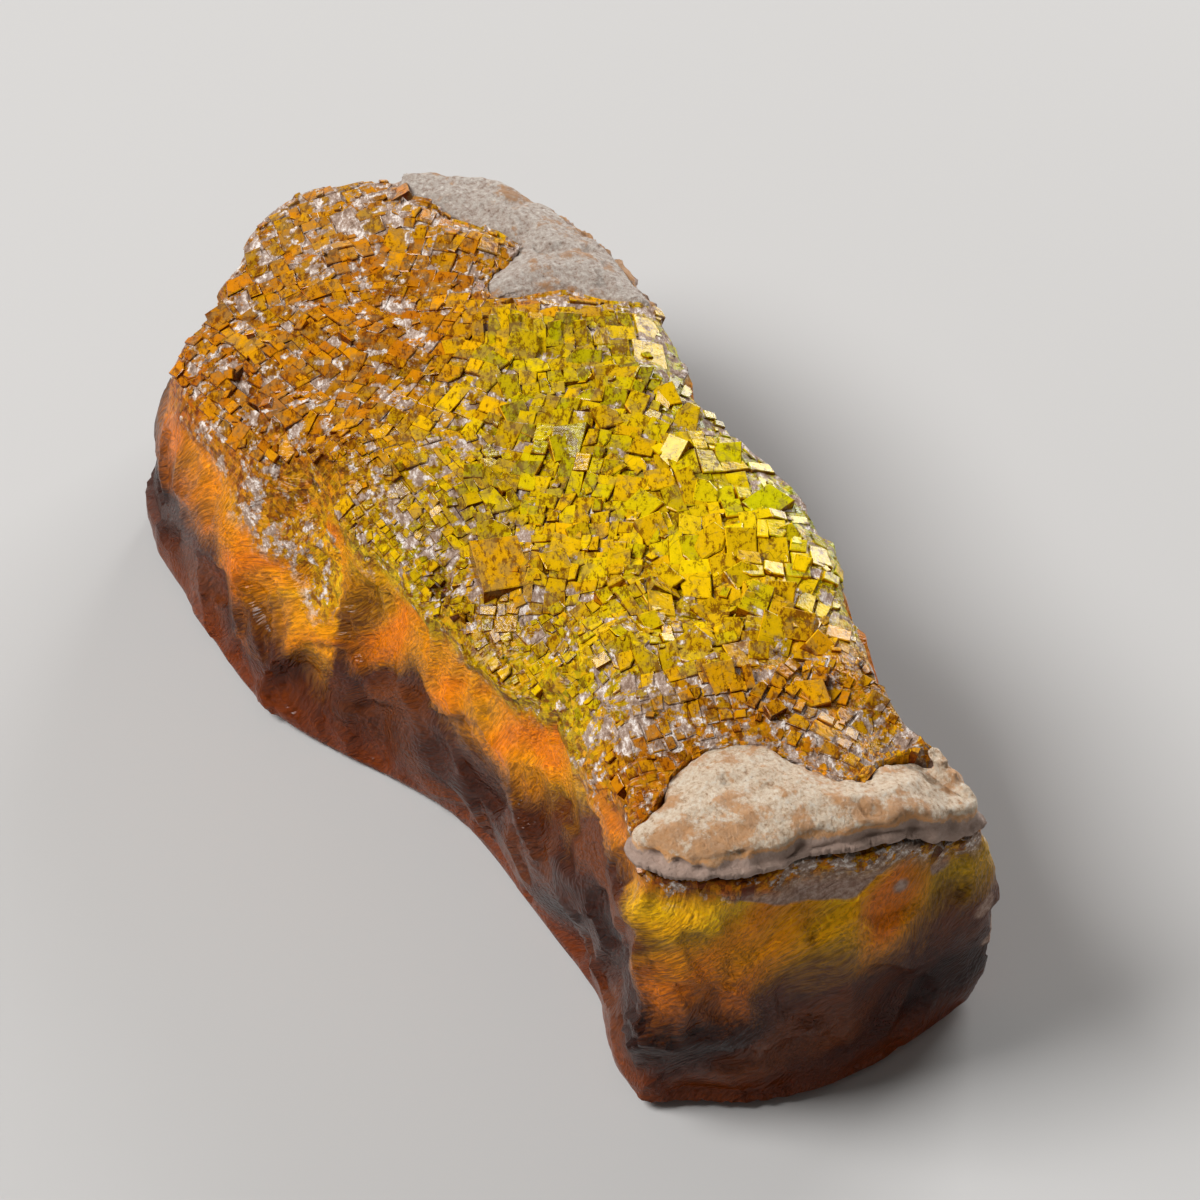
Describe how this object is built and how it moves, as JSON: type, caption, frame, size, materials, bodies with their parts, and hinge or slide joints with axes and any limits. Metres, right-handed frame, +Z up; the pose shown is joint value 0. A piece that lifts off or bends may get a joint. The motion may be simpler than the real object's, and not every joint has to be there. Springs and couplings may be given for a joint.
{
  "type": "fluorite specimen",
  "caption": "Hand-sized slab of amber vein fluorite with a mosaic of small intergrown cubes on top, broken striated walls and patches of pale mineral crust on its upper edge.",
  "frame": {"origin": "on the flat cleavage base, under the middle of the specimen's bounding box", "axes": "+X along the slab's length towards the broken end with the cream crust, +Y towards the flank opposite the long broken wall, +Z up through the mosaic of cubes"},
  "size_m": [0.0778, 0.0362, 0.0252],
  "materials": {
    "fluorite": "translucent amber to yellow crystal, glassy facets, dusted tops and hackly broken walls",
    "cream_crust": "matt cream mineral crust with orange stains",
    "pale_crust": "grey-pink sugary mineral crust"
  },
  "bodies": {
    "root": {"fluorite": "fluorite", "front_crust": "cream_crust", "back_crust": "pale_crust"}
  },
  "joints": []
}
